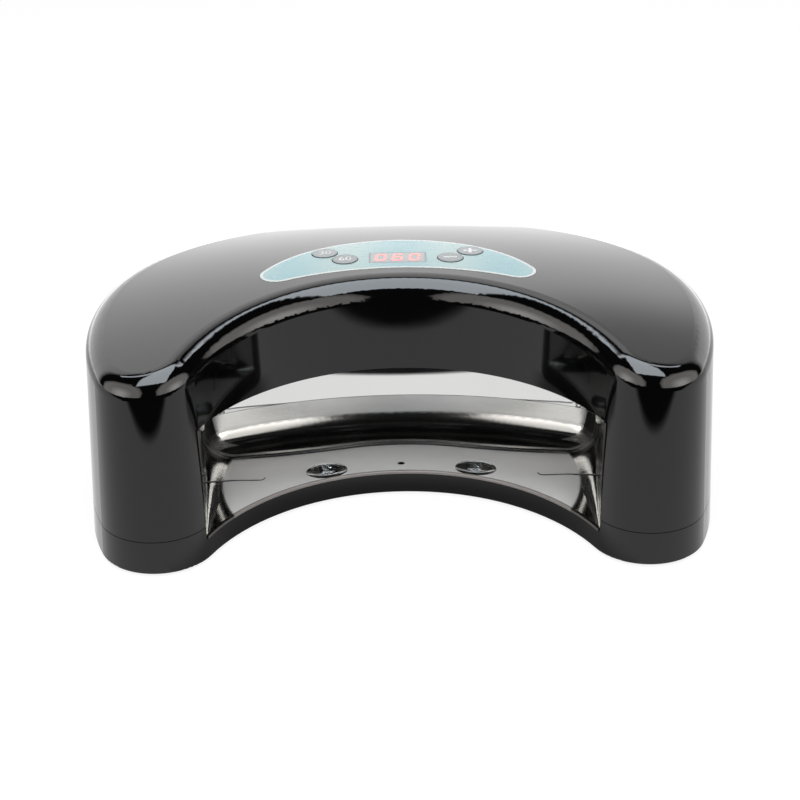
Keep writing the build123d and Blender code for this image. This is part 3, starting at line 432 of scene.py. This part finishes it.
rim_low = 0.0052
rim_back = 0.019
cove_low = 0.0085
cove_high = 0.0105
soft_high = 0.0135
cove_roughness = 0.13
rim_roughness = 0.22
side_roughness = 0.24
rim_metallic = 0.8
bowl_finish = mirror_finish("plated_bowl", 0.75, cove_roughness)
in_bowl = axes_of(bowl_finish, object_place(bowl_finish))
above_cove = calculate(bowl_finish, "GREATER_THAN", in_bowl["Z"], rim_low)
before_back = calculate(bowl_finish, "LESS_THAN", in_bowl["Y"], rim_back)
on_rim = calculate(bowl_finish, "MULTIPLY", above_cove, before_back)
off_rim = calculate(bowl_finish, "SUBTRACT", 1, on_rim)
# Painted shade: below the rim the bowl's plating is darkened towards the bottom.
low_share = between(bowl_finish, in_bowl["Z"], cove_low, soft_high, 1, 0)
low_bowl_painted_shade = calculate(bowl_finish, "MULTIPLY", low_share, off_rim)
bowl_patches = noise_over(bowl_finish, plate_patches)
bowl_plating = mixed(bowl_finish, bowl_patches, (0.7, 0.7, 0.69), (0.78, 0.78, 0.77))
bowl_with_painted_shade = mixed(bowl_finish, low_bowl_painted_shade, bowl_plating, (0.26, 0.26, 0.255))
# Painted shade: the steep faces of the rim's steps are painted near black.
facing = bowl_finish.node_tree.nodes.new("ShaderNodeNewGeometry").outputs["Normal"]
steep = between(bowl_finish, axes_of(bowl_finish, facing)["Z"], 0.4, 0.8, 1, 0)
painted_step_shade = calculate(bowl_finish, "MULTIPLY", on_rim, steep)
into(bowl_finish, mixed(bowl_finish, painted_step_shade, bowl_with_painted_shade, (0.05, 0.05, 0.05)), "Base Color")
soft_side = between(bowl_finish, in_bowl["Z"], cove_high, soft_high, cove_roughness, side_roughness)
rim_grain = calculate(bowl_finish, "MULTIPLY", on_rim, rim_roughness)
into(bowl_finish, calculate(bowl_finish, "MAXIMUM", soft_side, rim_grain), "Roughness")
into(bowl_finish, between(bowl_finish, on_rim, 0, 1, 1.0, rim_metallic), "Metallic")

wall_finish = mirror_finish("plated_wall", 0.78, 0.02)
wear(floor_finish, "floor_reflector")
wear(bowl_finish, "rear_bowl_reflector")
wear(wall_finish, "back_wall_reflector")


# Floor slits: a narrow slot pressed into the liner beside each light, from a hooked end to the wing.
# The rolled edge behind each slot catches the light.

slit_route = (
    (0.0588, -0.0168, 0.008), (0.0594, -0.0186, 0.008), (0.0606, -0.0191, 0.008), (0.0655, -0.0179, 0.008),
    (0.0722, -0.0163, 0.007), (0.0772, -0.0166, 0.007), (0.0802, -0.0185, 0.008), (0.0822, -0.0228, 0.0105),
    (0.0838, -0.0302, 0.0147),
)
slit_radius = 0.00028
slit_edge_radius = 0.00018
slit_edge_back = 0.00045
# Painted shadow: each slot is a dark tube that stands in for the shade inside it.
slit_finish = varied_finish("slit_shadow", (0.03, 0.029, 0.028), 0.5, 300, 1500, 0.000004)
slit_edge_finish = varied_finish("rolled_edge", (0.8, 0.8, 0.79), 0.25, 300, 1500, 0.000004, 1.0, 0.1)


def pressed_line(radius, back):
    line = bpy.data.curves.new("pressed_line", "CURVE")
    line.dimensions = "3D"
    line.bevel_depth = radius
    line.bevel_resolution = 2
    line.use_fill_caps = True
    for side in (-1, 1):
        run = line.splines.new("NURBS")
        run.points.add(len(slit_route) - 1)
        for point, (x, y, z) in zip(run.points, slit_route):
            _, surface, _, _ = nodes["floor_reflector"].closest_point_on_mesh((side * x, y + back, z))
            point.co = (*surface, 1)
        run.order_u = 3
        run.use_endpoint_u = True
    holder = bpy.data.objects.new("pressed_line", line)
    shape = bmesh.new()
    shape.from_mesh(bpy.data.meshes.new_from_object(holder))
    bpy.data.objects.remove(holder)
    return shape


finished_piece("floor_slits", pressed_line(slit_radius, 0), slit_finish, "housing")
finished_piece("floor_slit_edges", pressed_line(slit_edge_radius, slit_edge_back), slit_edge_finish,
               "housing")


# Floor lights: a clear cover whose face is a honeycomb of small bulges, over a plated cup.
# A pale package in a white frame, with two soldering tabs, sits at the bottom on a round white board.

floor_slope = 0.1492
floor_light_middles = (Vector((-0.0322, -0.013388, 0.009749)), Vector((0.0322, -0.013388, 0.009749)))
cover_radius = 0.009
cover_sink = 0.0002
cover_thick = 0.0014
bulge_pitch = 0.0019
bulge_height = 0.00022
cover_rings = 45
cover_spokes = 144
package_top = -0.0029
board_face = -0.0038


def light_frame(middle):
    outward = Vector((middle.x, middle.y - (apex - mouth_radius), 0)).normalized()
    up = Vector((outward.x * floor_slope, outward.y * floor_slope, 1)).normalized()
    right = Vector((0, 1, 0)).cross(up).normalized()
    turn = Matrix((right, up.cross(right), up)).transposed()
    return Matrix.Translation(middle) @ turn.to_4x4()


def bulge(x, y):
    nearest = cover_radius
    for shift in (0, 0.5):
        column = (round(x / bulge_pitch - shift) + shift) * bulge_pitch
        row = (round(y / bulge_pitch / math.sqrt(3) - shift) + shift) * bulge_pitch * math.sqrt(3)
        nearest = min(nearest, math.hypot(x - column, y - row))
    return bulge_height * (1 - (nearest * math.sqrt(3) / bulge_pitch) ** 2)


def add_to(group, shape):
    lifted = bpy.data.meshes.new("lifted")
    shape.to_mesh(lifted)
    shape.free()
    group.from_mesh(lifted)
    bpy.data.meshes.remove(lifted)


covers = bmesh.new()
for middle in floor_light_middles:
    cover = bmesh.new()
    reaches = [cover_radius * ring / cover_rings for ring in range(cover_rings + 1)]
    profile = [cover.verts.new((reach, 0, -cover_sink)) for reach in reaches]
    profile.append(cover.verts.new((cover_radius, 0, -cover_sink - cover_thick)))
    profile.append(cover.verts.new((0, 0, -cover_sink - cover_thick)))
    edges = [cover.edges.new(pair) for pair in zip(profile, profile[1:])]
    bmesh.ops.spin(cover, geom=profile + edges, cent=(0, 0, 0), axis=(0, 0, 1),
                   angle=math.tau, steps=cover_spokes, use_merge=True)
    bmesh.ops.remove_doubles(cover, verts=cover.verts, dist=0.000001)
    for vert in cover.verts:
        x, y, z = vert.co
        if z > -cover_sink - cover_thick / 2 and math.hypot(x, y) < cover_radius * 0.99:
            vert.co.z += bulge(x, y)
    bmesh.ops.recalc_face_normals(cover, faces=cover.faces)
    bmesh.ops.transform(cover, matrix=light_frame(middle), verts=cover.verts)
    add_to(covers, cover)
for face in covers.faces:
    face.smooth = True

lens_finish = varied_finish("clear_lens", (0.93, 0.94, 0.95), 0.02, 200, 700, 0.00001, shade=0.02)
lens_shader = lens_finish.node_tree.nodes["Principled BSDF"]
lens_shader.inputs["Transmission Weight"].default_value = 1.0
lens_shader.inputs["IOR"].default_value = 1.15
wear(lens_finish, "floor_led_lenses", "ceiling_led_lenses")
dimpled = finished_piece("floor_led_covers", covers, lens_finish, "housing")
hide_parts("floor_led_lenses")

cup_finish = varied_finish("plated_cup", (0.3, 0.3, 0.29), 0.1, 200, 900, 0.0003, 1.0)
wear(cup_finish, "floor_led_cups")
emitter_finish = varied_finish("pale_package", (0.8, 0.81, 0.8), 0.5, 800, 2500, 0.000004)
wear(emitter_finish, "floor_led_emitters", "ceiling_led_emitters")
white_board_finish = varied_finish("white_board", (0.7, 0.7, 0.68), 0.45, 150, 1500, 0.000004)
wear(white_board_finish, "floor_led_boards", "ceiling_led_boards")

tab_size = (0.0052, 0.0013)
tab_out = 0.003
frame_bar = (0.0012, 0.0046)
frame_out = 0.0017
frame_height = 0.0008
cross_bar = (0.0022, 0.0012)
tabs = bmesh.new()
for middle in floor_light_middles:
    tab = bmesh.new()
    for side in (-1, 1):
        bar(tab, *tab_size, package_top - board_face, (0, side * tab_out, (package_top + board_face) / 2))
        bar(tab, *frame_bar, frame_height, (side * frame_out, 0, package_top + frame_height / 2))
    bar(tab, *cross_bar, frame_height, (0, 0, package_top + frame_height / 2))
    bmesh.ops.transform(tab, matrix=light_frame(middle), verts=tab.verts)
    add_to(tabs, tab)
tab_finish = varied_finish("white_tab", (0.95, 0.95, 0.94), 0.4, 900, 2500, 0.000003, shade=0.08)
finished_piece("floor_led_tabs", tabs, tab_finish, "housing")


# Hand sensor: a small dark infrared window on a post, seen through the pinhole in the floor.

sensor_finish = varied_finish("infrared_window", (0.002, 0.001, 0.002), 0.5, 300, 1500, 0.000003)
sensor_finish.node_tree.nodes["Principled BSDF"].inputs["Specular IOR Level"].default_value = 0.06
wear(sensor_finish, "hand_sensor")


# Ceiling of the opening: a satin black plate with two curved rows of lights.
# A ribbed aluminium plate above it spreads their heat.

ceiling_finish = varied_finish("satin_black", (0.02, 0.02, 0.021), 0.3, 40, 900, 0.00001)
wear(ceiling_finish, "ceiling_panel")
sink_finish = varied_finish("bare_aluminium", (0.75, 0.76, 0.77), 0.35, 60, 1200, 0.00001, 1.0)
wear(sink_finish, "heat_sink")


# Circuit boards: green solder mask over fine copper tracks, with black parts on top.

board_finish = varied_finish("green_board", (0.03, 0.16, 0.07), 0.35, 120, 900, 0.000012)
wear(board_finish, "control_board", "driver_board")
black_part_finish = varied_finish("black_part", (0.03, 0.03, 0.032), 0.45, 200, 1800, 0.000008)
wear(black_part_finish, "button_switches", "driver_components", "display_module", "dc_inlet")


# Wires and the flat ribbon: soft coloured insulation with a slight sheen.

for name, colour in (
    ("ribbon_cable", (0.4, 0.4, 0.41)),
    ("led_wire_plus", (0.5, 0.03, 0.03)),
    ("led_wire_minus", (0.03, 0.03, 0.03)),
    ("floor_led_wires", (0.65, 0.65, 0.63)),
):
    wear(varied_finish(name + "_jacket", colour, 0.4, 300, 2000, 0.000006), name)


# Screws and feet: plated steel screws under the tray and on the boards, four black rubber feet.

screw_finish = varied_finish("plated_steel", (0.6, 0.6, 0.6), 0.3, 400, 2500, 0.000004, 1.0)
wear(screw_finish, "housing_screws", "board_screws")
rubber_finish = varied_finish("black_rubber", (0.03, 0.03, 0.03), 0.7, 200, 2200, 0.00002)
wear(rubber_finish, "rubber_feet")


# Studio: a pale table whose front edge is a hand's width before the lamp, with a lit sweep behind.
# A soft box hangs overhead, an umbrella stands on each side, and the room in front is dark.

table_front = -0.217
edge_blur = 0.006
sweep_level = 2.8
dark_room = 0.01
table_level = 0.9
table = bmesh.new()
bmesh.ops.create_circle(table, cap_ends=True, segments=96, radius=6.0)
table_mesh = bpy.data.meshes.new("table")
table.to_mesh(table_mesh)
table.free()
table_top = bpy.data.objects.new("table", table_mesh)
bpy.context.scene.collection.objects.link(table_top)

table_finish = bpy.data.materials.new("pale_table")
table_finish.use_nodes = True
tree = table_finish.node_tree
tree.nodes.clear()
output = tree.nodes.new("ShaderNodeOutputMaterial")
matt = tree.nodes.new("ShaderNodeBsdfDiffuse")
matt.inputs["Color"].default_value = (0.22, 0.22, 0.22, 1)
white = tree.nodes.new("ShaderNodeEmission")
white.inputs["Strength"].default_value = 0.86
seen = tree.nodes.new("ShaderNodeAddShader")
rays = tree.nodes.new("ShaderNodeLightPath")
camera_mix = tree.nodes.new("ShaderNodeMixShader")
glow = tree.nodes.new("ShaderNodeEmission")
table_place = object_place(table_finish)
table_row = axes_of(table_finish, table_place)["Y"]
steps = tree.nodes.new("ShaderNodeValToRGB")
steps.color_ramp.elements[0].color = (dark_room, dark_room, dark_room, 1)
steps.color_ramp.elements[1].color = (table_level, table_level, table_level, 1)
steps.color_ramp.elements[0].position = (table_front - edge_blur + 1) / 2
steps.color_ramp.elements[1].position = (table_front + edge_blur + 1) / 2
for position, level in ((0.25, table_level), (0.7, sweep_level)):
    stop = steps.color_ramp.elements.new((position + 1) / 2)
    stop.color = (level, level, level, 1)
half_way = calculate(table_finish, "MULTIPLY_ADD", table_row, 0.5)
half_way.node.inputs[2].default_value = 0.5
tree.links.new(half_way, steps.inputs["Fac"])
tree.links.new(steps.outputs["Color"], glow.inputs["Color"])
# Painted shade: near the hollow under the visor, the table's glow seen in reflections and by bounce light is
# dimmed.
to_edge = measure(table_finish, "DISTANCE", table_place, (0, apex - mouth_radius, 0))
near_edge = between(table_finish, to_edge, 0.05, mouth_radius, 0, 1)
in_hollow = between(table_finish, table_row, -0.1, -0.06, 0, 1)
edge_of_hollow = calculate(table_finish, "MULTIPLY", near_edge, in_hollow)
under_visor = calculate(table_finish, "LESS_THAN", to_edge, 0.095)
shaded = calculate(table_finish, "MULTIPLY", under_visor, edge_of_hollow)
tree.links.new(between(table_finish, shaded, 0, 1, 1.0, 0.3), glow.inputs["Strength"])
tree.links.new(matt.outputs[0], seen.inputs[0])
tree.links.new(white.outputs[0], seen.inputs[1])
tree.links.new(rays.outputs["Is Camera Ray"], camera_mix.inputs[0])
tree.links.new(glow.outputs[0], camera_mix.inputs[1])
tree.links.new(seen.outputs[0], camera_mix.inputs[2])
tree.links.new(camera_mix.outputs[0], output.inputs["Surface"])
table_mesh.materials.append(table_finish)

world = bpy.data.worlds.new("studio")
bpy.context.scene.world = world
world.use_nodes = True
air = world.node_tree
air.nodes.clear()
world_out = air.nodes.new("ShaderNodeOutputWorld")
plain = air.nodes.new("ShaderNodeBackground")
plain.inputs["Strength"].default_value = 0.5
backdrop = air.nodes.new("ShaderNodeBackground")
backdrop.inputs["Color"].default_value = (1, 1, 1, 1)
surround = air.nodes.new("ShaderNodeBackground")
direction = air.nodes.new("ShaderNodeTexCoord")
heading = axes_of(world, direction.outputs["Generated"])
behind = between(world, heading["Y"], 0.3, 0.5, dark_room, sweep_level)
high_up = between(world, heading["Z"], 0.35, 0.7, 0, 1)
to_right = between(world, heading["X"], -0.1, 0.22, 0, 1)
darker_corner = calculate(world, "MULTIPLY", high_up, to_right)
corner_level = between(world, darker_corner, 0, 1, 1.0, 0.5)
air.links.new(calculate(world, "MULTIPLY", behind, corner_level), surround.inputs["Strength"])
sky_rays = air.nodes.new("ShaderNodeLightPath")
first_mix = air.nodes.new("ShaderNodeMixShader")
second_mix = air.nodes.new("ShaderNodeMixShader")
mirror_rays = sky_rays.outputs["Is Glossy Ray"]
mirror_or_clear = calculate(world, "MAXIMUM", mirror_rays, sky_rays.outputs["Is Transmission Ray"])
air.links.new(sky_rays.outputs["Is Camera Ray"], first_mix.inputs[0])
air.links.new(plain.outputs[0], first_mix.inputs[1])
air.links.new(backdrop.outputs[0], first_mix.inputs[2])
air.links.new(mirror_or_clear, second_mix.inputs[0])
air.links.new(first_mix.outputs[0], second_mix.inputs[1])
air.links.new(surround.outputs[0], second_mix.inputs[2])
air.links.new(second_mix.outputs[0], world_out.inputs["Surface"])

overhead_height = 1.0
overhead_width = 1.3


def soft_lamp(name, width, depth, energy, matrix):
    lamp_data = bpy.data.lights.new(name, "AREA")
    lamp_data.shape = "RECTANGLE"
    lamp_data.size = width
    lamp_data.size_y = depth
    lamp_data.energy = energy
    lamp = bpy.data.objects.new(name, lamp_data)
    lamp.matrix_world = matrix
    lamp.visible_glossy = False
    bpy.context.scene.collection.objects.link(lamp)


soft_lamp("overhead_lamp", overhead_width, 0.94, 5.5, Matrix.Translation((0, -0.14, overhead_height)))
front_tilt = Matrix.Rotation(math.radians(50), 4, "X")
soft_lamp("front_lamp", 0.9, 0.5, 3.5, front_tilt @ Matrix.Translation((0, 0, 1.15)))


def light_card(name, shape, width, height, matrix, shine_at):
    bmesh.ops.scale(shape, vec=(width, height, 1), verts=shape.verts)
    mesh = bpy.data.meshes.new(name)
    shape.to_mesh(mesh)
    shape.free()
    card = bpy.data.objects.new(name, mesh)
    card.matrix_world = matrix
    bpy.context.scene.collection.objects.link(card)
    finish = bpy.data.materials.new(name)
    finish.use_nodes = True
    finish.node_tree.nodes.clear()
    shine = finish.node_tree.nodes.new("ShaderNodeEmission")
    end = finish.node_tree.nodes.new("ShaderNodeOutputMaterial")
    finish.node_tree.links.new(shine.outputs[0], end.inputs["Surface"])
    shine_at(finish, shine)
    mesh.materials.append(finish)
    card.visible_camera = False
    card.visible_diffuse = False
    card.visible_shadow = False


def overhead_shine(finish, shine):
    shine.inputs["Color"].default_value = (0.86, 0.93, 1.0, 1)
    on_card = axes_of(finish, object_place(finish))
    from_middle = calculate(finish, "ABSOLUTE", on_card["X"], 0)
    flare = calculate(finish, "MULTIPLY", on_card["Y"], 0.33)
    main_side = between(finish, calculate(finish, "ADD", from_middle, flare), 0.33, 0.37, 1, 0)
    main_front = between(finish, on_card["Y"], -0.6, -0.53, 0, 1)
    main_back = between(finish, on_card["Y"], 0.42, 0.48, 1, 0)
    main_depth = calculate(finish, "MULTIPLY", main_front, main_back)
    main_box = calculate(finish, "MULTIPLY", main_side, main_depth)
    bar_front = between(finish, on_card["Y"], 0.33, 0.42, 0, 1)
    bar_back = between(finish, on_card["Y"], 0.44, 0.54, 1, 0)
    long_bar = calculate(finish, "MULTIPLY", bar_front, bar_back)
    level = calculate(finish, "MAXIMUM", main_box, long_bar)
    finish.node_tree.links.new(calculate(finish, "MULTIPLY", level, 7.5), shine.inputs["Strength"])


def umbrella_shine(finish, shine):
    shine.inputs["Color"].default_value = (1.0, 0.97, 0.93, 1)
    from_hub = measure(finish, "DISTANCE", object_place(finish), (0, 0, 0))
    core = between(finish, from_hub, 0.0, 0.5, 5.5, 2.4)
    edge = between(finish, from_hub, 0.7, umbrella_radius, 1, 0.4)
    finish.node_tree.links.new(calculate(finish, "MULTIPLY", core, edge), shine.inputs["Strength"])


overhead_shape = bmesh.new()
bmesh.ops.create_grid(overhead_shape, x_segments=1, y_segments=1, size=0.5)
light_card("overhead_box", overhead_shape, overhead_width, 1.2,
           Matrix.Translation((0, -0.2, overhead_height)), overhead_shine)

umbrella_distance = 1.1
umbrella_radius = 0.95
umbrella_rise = math.radians(10)
for side_name, turn in (("left", -54), ("right", 54)):
    umbrella_shape = bmesh.new()
    bmesh.ops.create_circle(umbrella_shape, cap_ends=True, segments=10, radius=1)
    upward = Matrix.Rotation(math.pi / 2 - umbrella_rise, 4, "X")
    towards = Matrix.Rotation(math.radians(turn), 4, "Z") @ upward
    light_card("umbrella_" + side_name, umbrella_shape, umbrella_radius, umbrella_radius,
               towards @ Matrix.Translation((0, 0, umbrella_distance)), umbrella_shine)


# Camera: at the height and distance of the photograph, looking down at the opening.

camera_data = bpy.data.cameras.new("camera")
camera_data.sensor_width = 36
camera_data.lens = 93.65
camera = bpy.data.objects.new("camera", camera_data)
pan = math.radians(0.47)
tilt = math.radians(27.49)
roll = math.radians(-0.86)
tilted = Matrix.Rotation(math.pi / 2 - tilt, 4, "X") @ Matrix.Rotation(roll, 4, "Z")
aim = Matrix.Rotation(-pan, 4, "Z") @ tilted
camera.matrix_world = Matrix.Translation((-0.00654, -0.79806, 0.45167)) @ aim
bpy.context.scene.collection.objects.link(camera)
bpy.context.scene.camera = camera
bpy.context.scene.view_settings.view_transform = "Standard"
